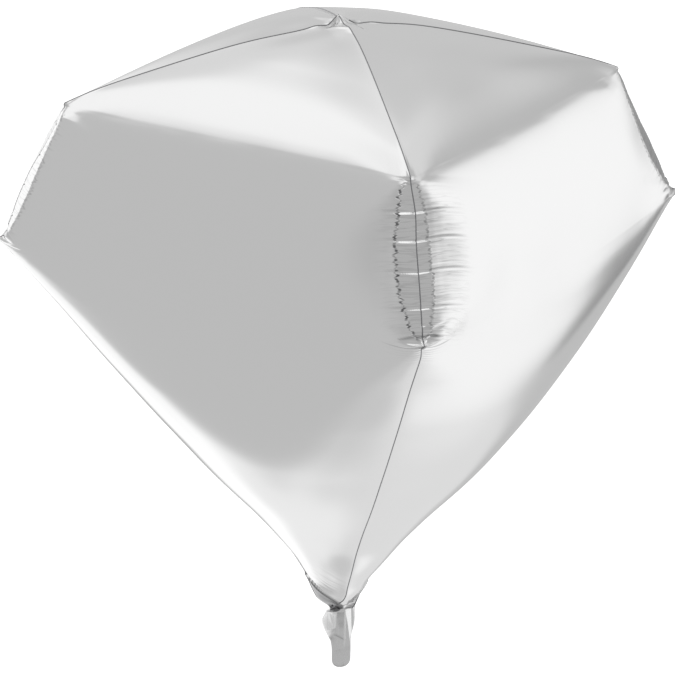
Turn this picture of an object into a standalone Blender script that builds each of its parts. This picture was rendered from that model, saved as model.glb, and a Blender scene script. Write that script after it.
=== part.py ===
"""Silver foil balloon, four gores cut as a gem, blown up and held at its neck.

The balloon hangs in the air point down. +Z runs up its axis, the origin is on the
axis at the throat where a ribbon is tied, -Y is the front seam and +X the right one.
Four flat-cut gores are welded edge to edge along four seams. Each seam runs from the
crown out to an upper corner, down a short straight girdle to a lower corner, and in
to the throat, below which the film goes on as a flat filling tail.
The real film is about 0.04 mm thick: the solids stand in for it at FILM.
"""

import bpy
import bmesh
import math
from mathutils import Vector

MM = 0.001

# Driving sizes, over the seam beads where they have one
ACROSS_LOWER_CORNERS = 560 * MM
ACROSS_UPPER_CORNERS = 456 * MM
LOWER_CORNER_Z = 356 * MM
UPPER_CORNER_Z = 464 * MM
POLE_Z = 521 * MM
THROAT_ACROSS = 21 * MM
TAIL_LENGTH = 57 * MM
TAIL_WIDTH = 25.8 * MM

# Film, the weld bead along each seam, and the gap kept between neighbouring solids
FILM = 1.0 * MM
TAIL_FILM = 0.8 * MM
BEAD_THICKNESS = 1.4 * MM
BEAD_PROUD = 1.0 * MM
BEAD_ROOT = 0.6 * MM
GAP = 0.3 * MM

# How finely the solids are divided
GORE_COLUMNS = 10
STEPS_PER_STATION = 2
TAIL_COLUMNS = 8

# The seam line lies under the bead's outer edge
UPPER_CORNER_R = ACROSS_UPPER_CORNERS / 2 - BEAD_PROUD
LOWER_CORNER_R = ACROSS_LOWER_CORNERS / 2 - BEAD_PROUD
POLE_HOLE_R = 12 * MM
THROAT_R = THROAT_ACROSS / 2

SILVER = (0.80, 0.80, 0.81, 1.0)

# Stations down a gore, in millimetres but for the last column: the seam's radius and
# height, the distance of the gore's middle from the axis and its height, and how full
# the section is (1 straight to a ridge, 2 a parabola, 6 flat with steep edges).
CROWN = [
    # seam_r, seam_z, face_d, face_z, fullness
    (POLE_HOLE_R / MM, POLE_Z / MM, 8.5, 521.3, 2.0),
    (40, 516, 29.5, 518, 2.0),
    (77, 508.5, 56.5, 512, 2.0),
    (116, 499, 84.5, 504.5, 2.1),
    (154, 487, 112, 493.5, 2.2),
    (192, 475, 138, 479, 2.4),
    (UPPER_CORNER_R / MM, UPPER_CORNER_Z / MM, 161.5, 461.5, 2.6),
]
GIRDLE = [
    CROWN[-1],
    (238, 440, 179, 442, 6.0),
    (252, 411, 192, 419, 6.0),
    (265, 385, 200.5, 394, 6.0),
    (LOWER_CORNER_R / MM, LOWER_CORNER_Z / MM, 205, 363, 5.0),
]
LOWER = [
    GIRDLE[-1],
    (245, 314, 204, 321, 4.0),
    (211, 268, 195, 277, 3.2),
    (180, 225, 176, 236, 2.6),
    (146, 181, 151, 195, 2.2),
    (109, 136, 119, 149, 1.9),
    (74, 96, 84, 105, 1.7),
    (45, 60, 50, 66, 1.6),
    (24, 27, 23.5, 31, 1.4),
    (THROAT_R / MM, 0.3, 7.8, 0.3, 1.2),
]
# Stations down the tail, in millimetres but for the last column: height, half the
# width, how far the film bows out from flat, and how full the bow is. From -35 down
# the tail is flat, and it ends in an arc.
TAIL_FLAT_TOP = -35.0
TAIL_FLAT_END = -50.0
TAIL_END_HALF_WIDTH = 9.6
TAIL = [
    # z, half_width, bow, fullness
    (0.0, THROAT_R / MM, 6.6, 1.2),
    (-4.0, 10.6, 5.6, 1.4),
    (-9.0, 12.1, 4.0, 1.7),
    (-15.0, TAIL_WIDTH / MM / 2, 2.8, 2.0),
    (-22.0, TAIL_WIDTH / MM / 2 - 0.1, 2.0, 2.0),
    (-29.0, 11.5, 1.2, 2.0),
    (TAIL_FLAT_TOP, 9.9, 0.0, 2.0),
    (TAIL_FLAT_END, TAIL_END_HALF_WIDTH, 0.0, 2.0),
]
TAIL_END_STEPS = 5

# Azimuths of the pieces, in degrees turned from facing -Y
GORES = {"gore_front_right": 45, "gore_back_right": 135, "gore_back_left": 225, "gore_front_left": 315}
SEAMS = {"seam_front": 0, "seam_right": 90, "seam_back": 180, "seam_left": 270}
TAIL_FILMS = {"tail_front": 0, "tail_back": 180}

# The raised pucker at the pole where the four gore tips are gathered and welded
CROWN_HEIGHT = 8 * MM
CROWN_SINK = 1.2 * MM
CROWN_TIP_R = 1.5 * MM
CROWN_CLEAR = 0.4 * MM


def clear_scene():
    for obj in list(bpy.data.objects):
        bpy.data.objects.remove(obj)


def make_collection(name):
    collection = bpy.data.collections.new(name)
    bpy.context.scene.collection.children.link(collection)
    return collection


def make_material(name, color, roughness, metallic):
    material = bpy.data.materials.new(name)
    material.use_nodes = True
    shader = material.node_tree.nodes["Principled BSDF"]
    shader.inputs["Base Color"].default_value = color
    shader.inputs["Roughness"].default_value = roughness
    shader.inputs["Metallic"].default_value = metallic
    material.diffuse_color = color
    return material


def between(stations, step):
    """Rows of one zone of the gore: its stations, with a smooth curve drawn through them."""
    rows = []
    last = len(stations) - 1
    for i in range(last):
        before = stations[max(i - 1, 0)]
        start = stations[i]
        end = stations[i + 1]
        after = stations[min(i + 2, last)]
        for k in range(step):
            t = k / step
            row = []
            for a, b, c, d in zip(before, start, end, after):
                bend = (2 * a - 5 * b + 4 * c - d) * t * t + (3 * b - a - 3 * c + d) * t ** 3
                row.append(b + 0.5 * ((c - a) * t + bend))
            rows.append(row)
    rows.append(list(stations[last]))
    return rows


def gore_rows():
    """All rows of a gore, from the pole to the throat, in metres."""
    rows = []
    for zone in (CROWN, GIRDLE, LOWER):
        zone_rows = between(zone, STEPS_PER_STATION)
        rows += zone_rows if zone is LOWER else zone_rows[:-1]
    return [[value * MM for value in row[:4]] + [row[4]] for row in rows]


def add_grid(name, columns, rows, place, collection, material):
    """A grid of the given size whose points go where place(across, row) says, across from -1 to 1."""
    mesh = bpy.data.meshes.new(name)
    grid = bmesh.new()
    bmesh.ops.create_grid(grid, x_segments=columns, y_segments=rows - 1, size=1.0)
    for vert in grid.verts:
        row = round((1 - vert.co.y) / 2 * (rows - 1))
        vert.co = place(vert.co.x, row)
    grid.to_mesh(mesh)
    grid.free()
    mesh.materials.append(material)
    obj = bpy.data.objects.new(name, mesh)
    collection.objects.link(obj)
    return obj


def thicken(obj, thickness, offset):
    solidify = obj.modifiers.new("film", "SOLIDIFY")
    solidify.thickness = thickness
    solidify.offset = offset
    solidify.use_even_offset = True
    return solidify


def turn(obj, degrees):
    obj.rotation_euler = (0, 0, math.radians(degrees))


def make_gore(name, azimuth, rows, collection, material):
    """One gore, bowed out between its two seams, its edges set back from the seam beads."""
    set_back = (BEAD_THICKNESS / 2 + GAP) * math.sqrt(2)

    def place(across, row):
        seam_r, seam_z, face_d, face_z, fullness = rows[row]
        # Columns stand closer together near the seams, where the section turns
        across = math.sin(across * math.pi / 2)
        half_chord = seam_r / math.sqrt(2)
        bow = 1 - abs(across) ** fullness
        rise = 1 - across * across
        return Vector((
            across * (half_chord - set_back),
            -(half_chord + (face_d - half_chord) * bow),
            seam_z + (face_z - seam_z) * rise,
        ))

    gore = add_grid(name, GORE_COLUMNS, len(rows), place, collection, material)
    thicken(gore, FILM, -1)
    turn(gore, azimuth)
    return gore


def make_bead(name, azimuth, rows, collection, material):
    """The welded seam: a narrow strip standing in the seam's plane along its whole length."""
    line = [Vector((row[0], row[1])) for row in rows]
    outward = []
    for i, point in enumerate(line):
        along = line[min(i + 1, len(line) - 1)] - line[max(i - 1, 0)]
        outward.append(Vector((-along.y, along.x)).normalized())

    def place(across, row):
        reach = BEAD_PROUD if across > 0 else -BEAD_ROOT
        point = line[row] + outward[row] * reach
        return Vector((0, -point.x, point.y))

    bead = add_grid(name, 1, len(rows), place, collection, material)
    thicken(bead, BEAD_THICKNESS, 0)
    turn(bead, azimuth)
    return bead


def make_crown(name, collection, material):
    """The gathered tips: a low cone in the hole between the gores, ridged toward the seams."""
    mesh = bpy.data.meshes.new(name)
    cone = bmesh.new()
    corner_r = POLE_HOLE_R - BEAD_ROOT - CROWN_CLEAR
    side_d = POLE_HOLE_R / math.sqrt(2) - CROWN_CLEAR
    bmesh.ops.create_cone(
        cone, cap_ends=True, segments=24, radius1=1.0, radius2=CROWN_TIP_R, depth=CROWN_HEIGHT
    )
    for vert in cone.verts:
        if vert.co.z < 0:
            # The base fills the square hole, whose corners point at the seams
            from_side = math.atan2(vert.co.y, vert.co.x) - math.pi / 4
            square_r = side_d / max(abs(math.cos(from_side)), abs(math.sin(from_side)))
            vert.co.xy = vert.co.xy.normalized() * min(square_r, corner_r)
        vert.co.z += POLE_Z - CROWN_SINK + CROWN_HEIGHT / 2
    cone.to_mesh(mesh)
    cone.free()
    mesh.materials.append(material)
    crown = bpy.data.objects.new(name, mesh)
    collection.objects.link(crown)
    return crown


def tail_rows():
    """Rows of the tail's film, with an arc of rows closing its lower end, in metres."""
    rows = list(TAIL)
    arc_height = TAIL_LENGTH / MM + TAIL_FLAT_END
    for k in range(1, TAIL_END_STEPS + 1):
        angle = math.radians(75) * k / TAIL_END_STEPS
        rows.append((
            TAIL_FLAT_END - arc_height * math.sin(angle) / math.sin(math.radians(75)),
            TAIL_END_HALF_WIDTH * math.cos(angle),
            0.0,
            2.0,
        ))
    return [[value * MM for value in row[:3]] + [row[3]] for row in rows]


def make_tail_film(name, azimuth, collection, material):
    """One of the two films of the filling tail, flat but for its bowed top."""
    rows = tail_rows()

    def place(across, row):
        z, half_width, bow, fullness = rows[row]
        stand = GAP / 2 + TAIL_FILM + bow * (1 - abs(across) ** fullness)
        return Vector((across * half_width, -stand, z))

    film = add_grid(name, TAIL_COLUMNS, len(rows), place, collection, material)
    thicken(film, TAIL_FILM, -1)
    turn(film, azimuth)
    return film


clear_scene()
parts = make_collection("foil_balloon")
foil = make_material("foil", SILVER, 0.18, 1.0)
weld = make_material("weld", SILVER, 0.30, 1.0)
tail_foil = make_material("tail_foil", SILVER, 0.22, 1.0)

gore_profile = gore_rows()
for gore_name, gore_azimuth in GORES.items():
    make_gore(gore_name, gore_azimuth, gore_profile, parts, foil)
for seam_name, seam_azimuth in SEAMS.items():
    make_bead(seam_name, seam_azimuth, gore_profile, parts, weld)
make_crown("crown_pucker", parts, foil)
for film_name, film_azimuth in TAIL_FILMS.items():
    make_tail_film(film_name, film_azimuth, parts, tail_foil)
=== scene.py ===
import math

import bpy
import numpy as np
from mathutils import Matrix, Vector


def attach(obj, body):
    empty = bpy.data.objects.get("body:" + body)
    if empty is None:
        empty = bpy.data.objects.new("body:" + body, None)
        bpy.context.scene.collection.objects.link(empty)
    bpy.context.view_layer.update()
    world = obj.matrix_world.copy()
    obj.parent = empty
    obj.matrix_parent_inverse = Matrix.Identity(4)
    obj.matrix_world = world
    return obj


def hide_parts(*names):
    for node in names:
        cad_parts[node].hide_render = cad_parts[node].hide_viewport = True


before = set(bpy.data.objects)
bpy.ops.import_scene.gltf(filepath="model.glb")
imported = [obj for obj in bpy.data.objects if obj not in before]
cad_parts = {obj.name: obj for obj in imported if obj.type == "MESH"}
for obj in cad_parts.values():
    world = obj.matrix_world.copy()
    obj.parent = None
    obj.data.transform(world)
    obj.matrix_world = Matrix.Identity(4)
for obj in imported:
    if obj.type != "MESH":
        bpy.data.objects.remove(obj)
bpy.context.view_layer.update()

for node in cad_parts.values():
    node.select_set(False)

# Camera
# A long lens looks down on the balloon by 22 degrees, from a little to the left of the
# front seam. The values are the photograph's own view of the four corners and the neck.
CAMERA_AZIMUTH = math.radians(-11.924)
CAMERA_ELEVATION = math.radians(22.391)
CAMERA_ROLL = math.radians(0.528)
CAMERA_DISTANCE = 2.3763
CAMERA_SIDE = -0.0051
CAMERA_AIM_HEIGHT = 0.2500
CAMERA_LENS = 153.19
SENSOR_WIDTH = 36

right = Vector((math.cos(CAMERA_AZIMUTH), math.sin(CAMERA_AZIMUTH), 0))
back = Vector((math.sin(CAMERA_AZIMUTH) * math.cos(CAMERA_ELEVATION),
               -math.cos(CAMERA_AZIMUTH) * math.cos(CAMERA_ELEVATION),
               math.sin(CAMERA_ELEVATION)))
up = back.cross(right)
camera_x = math.cos(CAMERA_ROLL) * right + math.sin(CAMERA_ROLL) * up
camera_y = math.cos(CAMERA_ROLL) * up - math.sin(CAMERA_ROLL) * right
bpy.ops.object.camera_add()
camera = bpy.context.object
camera.name = "camera"
camera.data.lens = CAMERA_LENS
camera.data.sensor_width = SENSOR_WIDTH
camera_turn = Matrix((camera_x, camera_y, back)).transposed().to_4x4()
camera_place = Vector((0, 0, CAMERA_AIM_HEIGHT)) + CAMERA_SIDE * right + CAMERA_DISTANCE * back
camera.matrix_world = Matrix.Translation(camera_place) @ camera_turn
bpy.context.scene.camera = camera
bpy.context.scene.view_settings.view_transform = "Standard"

# Film gores
# The envelope is four gores of metallised film, cut flat, welded edge to edge and blown
# up tight, so that the short girdle seams pucker. The gores are joined here at their flat
# size and inflated as cloth, and each is then a piece of its own.
MM = 0.001
GORES = ["front_right", "back_right", "back_left", "front_left"]
GORE_TURNS = [45, 135, 225, 315]

# The flat cut, measured down the gore's middle, and its widths there
CUT_TOP = 8 * MM
CUT_UPPER = 171.2 * MM
CUT_LOWER = 290.7 * MM
CUT_END = 697.8 * MM
UPPER_WIDTH = 325 * MM
LOWER_WIDTH = 398 * MM
END_WIDTH = 18 * MM
LOWER_EDGE_HOLLOW = 4 * MM

# How finely the cloth is divided: rows down the crown, girdle and lower part, and columns
CLOTH_ROWS = (20, 36, 36)
CLOTH_COLUMNS = 28
CLOTH_CROWDING = 0.8
INFLATE_FRAMES = 28
PRESSURE = 120.0
STRETCH_STIFFNESS = 100
SHEAR_STIFFNESS = 60
LOWER_FIRMNESS = 0.3


def cut_half_width(down):
    """Half the flat gore's width at a distance down its middle."""
    half = np.interp(down, [0, CUT_UPPER, CUT_LOWER, CUT_END],
                     [0, UPPER_WIDTH / 2, LOWER_WIDTH / 2, END_WIDTH / 2])
    t = np.clip((down - CUT_LOWER) / (CUT_END - CUT_LOWER), 0, 1)
    return half - LOWER_EDGE_HOLLOW * 4 * t * (1 - t)


def stations(counts, pole_crowding=1.0, lower_crowding=0.0):
    """Distances down the gore, with that many steps in the crown, girdle and lower part.

    The steps are shorter near the pole, and near both ends of the lower part.
    """
    crown, girdle, lower = (np.linspace(0, 1, n, endpoint=False) for n in counts)
    lower = lower - lower_crowding * np.sin(2 * math.pi * lower) / (2 * math.pi)
    return np.concatenate([CUT_TOP + (CUT_UPPER - CUT_TOP) * crown ** pole_crowding,
                           CUT_UPPER + (CUT_LOWER - CUT_UPPER) * girdle,
                           CUT_LOWER + (CUT_END - CUT_LOWER) * lower, [CUT_END]])


def columns(count, crowding):
    """Places across a gore from -1 to 1, closer together towards its seams."""
    t = np.linspace(-1, 1, count + 1)
    return (1 - crowding) * t + crowding * np.sin(t * math.pi / 2)


def ring_faces(rows, ring):
    """Faces between closed rings of points, from the first ring down to the last."""
    return [(r * ring + j, (r + 1) * ring + j, (r + 1) * ring + (j + 1) % ring, r * ring + (j + 1) % ring)
            for r in range(rows - 1) for j in range(ring)]


down = stations(CLOTH_ROWS)
half = cut_half_width(down)
drop = np.sqrt(np.diff(down) ** 2 - np.diff(half) ** 2)
height = np.concatenate([np.cumsum(drop[::-1])[::-1], [0]])
across = columns(CLOTH_COLUMNS, CLOTH_CROWDING)[:-1]
ring = 4 * CLOTH_COLUMNS
grid = np.empty((len(down), ring, 3))
for gore, turn in enumerate(GORE_TURNS):
    a = math.radians(turn)
    x = half[:, None] * across
    y = np.repeat(-half[:, None], CLOTH_COLUMNS, axis=1)
    at = slice(gore * CLOTH_COLUMNS, (gore + 1) * CLOTH_COLUMNS)
    grid[:, at, 0] = x * math.cos(a) - y * math.sin(a)
    grid[:, at, 1] = x * math.sin(a) + y * math.cos(a)
    grid[:, at, 2] = height[:, None]
points = np.vstack([grid.reshape(-1, 3), (0, 0, height[0]), (0, 0, 0)])
top_point = len(points) - 2
end_point = len(points) - 1
last_ring = (len(down) - 1) * ring
faces = ring_faces(len(down), ring)
faces += [(top_point, j, (j + 1) % ring) for j in range(ring)]
faces += [(end_point, last_ring + (j + 1) % ring, last_ring + j) for j in range(ring)]
mesh = bpy.data.meshes.new("envelope")
mesh.from_pydata(points.tolist(), [], faces)
envelope = bpy.data.objects.new("envelope", mesh)
bpy.context.collection.objects.link(envelope)
bpy.context.view_layer.objects.active = envelope
envelope.select_set(True)

held = envelope.vertex_groups.new(name="held")
held.add([end_point] + list(range(last_ring, last_ring + ring)), 1.0, "REPLACE")
firm = envelope.vertex_groups.new(name="firm")
crown_rows, girdle_rows = CLOTH_ROWS[:2]
for r in range(len(down)):
    crown_firmness = min(max((crown_rows + 2 - r) / 3, 0), 1)
    lower_firmness = LOWER_FIRMNESS * min(max((r - crown_rows - girdle_rows) / 4, 0), 1)
    firmness = max(crown_firmness, lower_firmness)
    if firmness > 0:
        firm.add(list(range(r * ring, (r + 1) * ring)), firmness, "REPLACE")
firm.add([top_point], 1.0, "REPLACE")
bpy.ops.object.modifier_add(type="CLOTH")
cloth = envelope.modifiers["Cloth"]
fabric = cloth.settings
fabric.quality = 5
fabric.mass = 0.1
fabric.air_damping = 1
fabric.tension_stiffness = fabric.tension_stiffness_max = STRETCH_STIFFNESS
fabric.compression_stiffness = 2
fabric.compression_stiffness_max = 60
fabric.shear_stiffness = SHEAR_STIFFNESS
fabric.vertex_group_structural_stiffness = "firm"
fabric.tension_damping = fabric.compression_damping = fabric.shear_damping = 5
fabric.bending_stiffness = 0.03
fabric.bending_damping = 0.5
fabric.use_pressure = True
fabric.uniform_pressure_force = PRESSURE
fabric.vertex_group_mass = "held"
fabric.effector_weights.gravity = 0
cloth.collision_settings.use_collision = False
cloth.collision_settings.use_self_collision = False
cloth.point_cache.frame_start = 1
cloth.point_cache.frame_end = INFLATE_FRAMES
for step in range(1, INFLATE_FRAMES + 1):
    bpy.context.scene.frame_set(step)
bpy.ops.object.modifier_apply(modifier=cloth.name)
bpy.context.scene.frame_set(1)
blown = np.empty(len(points) * 3, np.float32)
envelope.data.vertices.foreach_get("co", blown)
blown = blown.reshape(-1, 3)[:last_ring + ring].reshape(len(down), ring, 3).astype(float)
bpy.data.objects.remove(envelope)

# Real film is too stiff to hold the small flutes that the cloth keeps across its crown
# and lower part, so they are drawn out there. Every second step undoes most of the last,
# which keeps the broad shape and takes only the flutes.
FLUTE_PASSES = 40
FLUTE_STEPS = (0.6, -0.625)
GIRDLE_KEPT = 0.3
row = np.arange(len(down))
off_girdle = np.maximum(crown_rows + 3 - row, row - crown_rows - girdle_rows + 1) / 5
off_girdle = np.clip(off_girdle, GIRDLE_KEPT, 1)
off_seam = np.tile(np.arange(CLOTH_COLUMNS) != 0, 4)
for step in range(FLUTE_PASSES):
    amount = FLUTE_STEPS[step % 2] * off_girdle[:, None, None] * off_seam[None, :, None]
    beside = (np.roll(blown, 1, axis=1) + np.roll(blown, -1, axis=1)) / 2
    blown = blown + amount * (beside - blown)

# The blown shape is brought onto the heights and widths that were measured in the
# photograph. Each station gives a height and the share of the blown radius kept there.
UPPER_CORNER_Z = 466 * MM
LOWER_CORNER_Z = 356 * MM
POLE_Z = 521 * MM
ACROSS_UPPER = 456 * MM
SWELL = [
    # height in metres, share of the blown radius
    (0.000, 0.86), (0.030, 0.89), (0.060, 0.94), (0.100, 1.03), (0.140, 1.11),
    (0.190, 1.125), (0.250, 1.095), (0.310, 1.04), (0.356, 1.005), (0.405, 0.99),
    (0.466, 0.985), (0.521, 1.00),
]


def smooth_curve(x, knots_x, knots_y):
    """A smooth curve through the knots, with the slopes of their neighbours' chords."""
    knots_x, knots_y = np.asarray(knots_x, float), np.asarray(knots_y, float)
    slope = np.gradient(knots_y, knots_x)
    i = np.clip(np.searchsorted(knots_x, x, side="right") - 1, 0, len(knots_x) - 2)
    h = knots_x[i + 1] - knots_x[i]
    t = (x - knots_x[i]) / h
    return ((2 * t ** 3 - 3 * t ** 2 + 1) * knots_y[i] + (t ** 3 - 2 * t ** 2 + t) * h * slope[i]
            + (3 * t ** 2 - 2 * t ** 3) * knots_y[i + 1] + (t ** 3 - t ** 2) * h * slope[i + 1])


seam_columns = [gore * CLOTH_COLUMNS for gore in range(4)]
upper_z = blown[crown_rows, seam_columns, 2].mean()
lower_z = blown[crown_rows + girdle_rows, seam_columns, 2].mean()
blown[..., 2] = smooth_curve(blown[..., 2], [0, lower_z, upper_z, blown[..., 2].max()],
                             [0, LOWER_CORNER_Z, UPPER_CORNER_Z, POLE_Z])
swell_z, swell_share = zip(*SWELL)
blown[..., :2] *= smooth_curve(blown[..., 2], swell_z, swell_share)[..., None]

# A grid fine enough to hold the puckers is drawn through the cloth's points. Its first
# rows close the crown.
CROWN_ROWS = 36
FILM_ROWS = (80, 230, 170)
FILM_COLUMNS = 110
FILM_CROWDING = 0.86
POLE_CROWDING = 1.5
LOWER_CROWDING = 0.8


def resample(values, places, axis):
    """Values at fractional rows or columns, on the smooth curve through the four nearest."""
    count = values.shape[axis]
    i = np.clip(np.floor(places).astype(int), 0, count - 2)
    t = (places - i).reshape([-1 if k == axis else 1 for k in range(values.ndim)])
    a, b, c, d = (np.take(values, np.clip(i + k, 0, count - 1), axis) for k in (-1, 0, 1, 2))
    return b + 0.5 * t * (c - a + t * (2 * a - 5 * b + 4 * c - d + t * (3 * (b - c) + d - a)))


crown_share = np.linspace(0, 1, CROWN_ROWS, endpoint=False)
film_down = np.concatenate([CUT_TOP * crown_share, stations(FILM_ROWS, POLE_CROWDING, LOWER_CROWDING)])
film_half = cut_half_width(film_down)
film_across = columns(FILM_COLUMNS, FILM_CROWDING)[:-1]
row_places = np.interp(film_down, down, np.arange(len(down)))
cloth_across = columns(CLOTH_COLUMNS, CLOTH_CROWDING)
column_places = np.interp(film_across, cloth_across, np.arange(CLOTH_COLUMNS + 1))
ring_places = np.concatenate([gore * CLOTH_COLUMNS + column_places for gore in range(4)])
wrapped = np.concatenate([blown[:, -1:], blown, blown[:, :2]], axis=1)
film = resample(resample(wrapped, row_places, 0), ring_places + 1, 1)
film_ring = 4 * FILM_COLUMNS
pole = np.array([0, 0, POLE_Z])
film[:CROWN_ROWS] = pole + (film[:CROWN_ROWS] - pole) * crown_share[:, None, None]


def facing(surface):
    """Unit vectors out of the film at every point of the grid."""
    along = np.gradient(surface, axis=0)
    around = np.roll(surface, -1, axis=1) - np.roll(surface, 1, axis=1)
    out = np.cross(along, around)
    return out / np.maximum(np.linalg.norm(out, axis=2, keepdims=True), 1e-12)


def window(value, start, end):
    """1 in the middle of a range, falling smoothly to 0 at its ends."""
    t = np.clip((value - start) / (end - start), 0, 1)
    return np.sin(math.pi * t) ** 2


def ease(value, start, end):
    """Rises smoothly from 0 at the start to 1 at the end."""
    t = np.clip((value - start) / (end - start), 0, 1)
    return t ** 2 * (3 - 2 * t)


# Where each point lies on its gore's flat cut, and next to which seam
cross = np.tile(np.abs(film_across), 4)
to_right = np.tile(film_across >= 0, 4)
gore_of = np.repeat(np.arange(4), FILM_COLUMNS)
seam_of = (gore_of + to_right) % 4
edge = np.array([(LOWER_WIDTH - UPPER_WIDTH) / 2, CUT_LOWER - CUT_UPPER])
girdle_length = float(np.hypot(*edge))
edge = edge / girdle_length
side = film_half[:, None] * cross - UPPER_WIDTH / 2
below = np.repeat(film_down[:, None] - CUT_UPPER, film_ring, axis=1)
along_seam = side * edge[0] + below * edge[1]
from_seam = np.maximum(below * edge[0] - side * edge[1], 0)

# The shoulder of each gore stands fuller, the crown domes a little, and the girdle seam
# is drawn straight between its corners.
SHOULDER_PUSH = 8 * MM
SHOULDER = (85 * MM, 285 * MM)
CROWN_SEAM_LIFT = 2.5 * MM
CROWN_DOMES = np.array([0, 4.5, 2.5, 0]) * MM
GIRDLE_SEAM_PUSHES = np.array([9, 6.5, 9, 9]) * MM
GIRDLE_SEAM_REACH = 20 * MM
SEAM_TURNS = np.radians([-90, 0, 90, 180])

push = SHOULDER_PUSH * (1 - cross ** 2) * window(film_down[:, None], *SHOULDER)
film = film + push[..., None] * facing(film)
over_crown = np.sin(math.pi * np.clip(film_down / CUT_UPPER, 0, 1))[:, None]
film[..., 2] += CROWN_SEAM_LIFT * over_crown * cross ** 4
film[..., 2] += CROWN_DOMES[gore_of] * over_crown * (1 - cross ** 2)
girdle_share = np.clip(along_seam / girdle_length, 0, 1)
seam_push = GIRDLE_SEAM_PUSHES[seam_of] * np.sin(math.pi * girdle_share) ** 1.4
seam_push = seam_push * np.exp(-(from_seam / GIRDLE_SEAM_REACH) ** 2)
seam_way = np.stack([np.cos(SEAM_TURNS[seam_of]), np.sin(SEAM_TURNS[seam_of])], axis=-1)
film[..., :2] += seam_push[..., None] * seam_way[None]

# The upper corners in front and on the right stand a little higher than the other two.
CORNER_LIFTS = [2.4 * MM, 5 * MM, 0, 0]
LIFT_START_Z = 380 * MM
plan_r = np.hypot(film[..., 0], film[..., 1])
raised = np.clip((film[..., 2] - LIFT_START_Z) / (UPPER_CORNER_Z - LIFT_START_Z), 0, 1)
reach = np.clip(plan_r / (ACROSS_UPPER / 2), 0, 1)
for turn, corner_lift in zip(SEAM_TURNS, CORNER_LIFTS):
    towards = (film[..., 0] * math.cos(turn) + film[..., 1] * math.sin(turn)) / np.maximum(plan_r, 1e-6)
    film[..., 2] += corner_lift * np.clip(towards, 0, 1) ** 6 * raised * reach

# The right lower corner stands higher than the others too.
LOW_CORNER_LIFT = 5 * MM
LOW_CORNER_REACH = 45 * MM
off_corner = np.hypot(film[..., 0] - film[..., 0].max(), film[..., 2] - LOWER_CORNER_Z)
film[..., 2] += LOW_CORNER_LIFT * np.exp(-(off_corner / LOW_CORNER_REACH) ** 2)

# The girdle seam leans a little to the right between its corners, and below the lower
# corner it steps aside, where the film folds over in a smile.
SEAM_LEAN = 2.0 * MM
LEAN_PLACE = 0.2
LEAN_LENGTH = 0.13
LEAN_REACH = 25 * MM
SEAM_STEP = 2.6 * MM
STEP_LENGTH = 16 * MM
STEP_REACH = 9 * MM
aside = SEAM_LEAN * np.exp(-((girdle_share - LEAN_PLACE) / LEAN_LENGTH) ** 2 - (from_seam / LEAN_REACH) ** 2)
past = along_seam - girdle_length
stepped = ease(past, -0.5 * MM, 1.5 * MM) * np.exp(-np.maximum(past, 0) / STEP_LENGTH)
aside -= SEAM_STEP * stepped * np.exp(-(from_seam / STEP_REACH) ** 2)
shift = np.stack([-aside * seam_way[..., 1], aside * seam_way[..., 0], 0 * aside], axis=-1)
out = facing(film)
film = film + shift - (shift * out).sum(axis=-1, keepdims=True) * out

# The girdle seams are shorter than the film beside them, so the film puckers there. Deep
# creases cross the seam. Between them the film is drawn flat as far as a ragged arc on each
# side, where it folds, and hair creases run on past the arc.
DEEP_CREASES = [
    # shares of the girdle's length, for the front, right, back and left seams
    (0.190, 0.345, 0.522, 0.735),
    (0.16, 0.37, 0.60, 0.78, 0.91),
    (0.13, 0.31, 0.52, 0.74),
    (0.13, 0.34, 0.55, 0.78),
]
# For the same seams, on the right and on the left of each: how far the deep creases and the
# arc reach and how high the arc's fold stands, in mm, how far the film inside the arc leans
# back, how much painted shade darkens it there, how far the hair creases reach, and how
# strong the hairs and the arc's pits are
CREASE_REACHES = [(52, 27), (30, 13), (45, 30), (12, 30)]
ARC_REACHES = [(9.5, 15.0), (13.0, 26.0), (12.0, 14.0), (18.0, 12.0)]
ARC_RISES = [(0.9, 0.9), (0.9, 0.3), (0.9, 0.9), (0.6, 0.9)]
ARC_TILTS = [(0, 0), (0, 0.04), (0, 0), (0.30, 0)]
ARC_SHADES = [(0, 0), (0.1, 0.27), (0, 0), (0, 0.1)]
HAIR_REACHES = [(50, 32), (36, 34), (45, 38), (20, 34)]
HAIR_STRENGTHS = [(1.0, 0.35), (0.7, 0.3), (0.8, 0.7), (0.6, 0.7)]
PIT_STRENGTHS = [(0.55, 1.0), (0.55, 0.4), (0.5, 0.5), (0.35, 0.6)]
# The arc's own shape: at these shares of the girdle's length, how much of its reach it has
ARC_SHARES = [0, 0.03, 0.07, 0.13, 0.20, 0.28, 0.43, 0.60, 0.72, 0.82, 0.88, 0.95, 1]
ARC_RIGHT = [0, 0.30, 0.50, 0.62, 0.70, 0.80, 0.95, 1.00, 0.92, 0.75, 0.62, 0.40, 0]
ARC_LEFT = [0, 0.25, 0.45, 0.68, 0.79, 0.90, 1.00, 0.99, 0.82, 0.66, 0.48, 0.22, 0]
ARC_WIDTH = 4.5 * MM
TILT_FADE = 22 * MM
PULL = 0.10
PULL_REACH = 22 * MM
PULL_END = 115 * MM
PULL_FULL = 40 * MM
CREASE_BEND = 800 * MM
CREASE_DEPTH = 0.75 * MM
CREASE_WALLS = (0.7 * MM, 1.3 * MM)
RIDGE_RISE = 0.15 * MM
CREASE_RIDGES = [
    # how far below a deep crease each low ridge stands, and its half width, in mm
    (-1.8, 0.7), (2.5, 0.8),
]
CREASE_SHADES = [
    # how far below a deep crease each line of painted shade lies, in mm, and how dark it is
    (-0.9, 0.45), (2.2, 0.30),
]
SHADE_WIDTH = 0.5 * MM
PILLOW_RISE = 0.35 * MM
PILLOW_REACH = 24 * MM
FINE_CREASES = 34
FINE_DEPTH = 0.14 * MM
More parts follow.
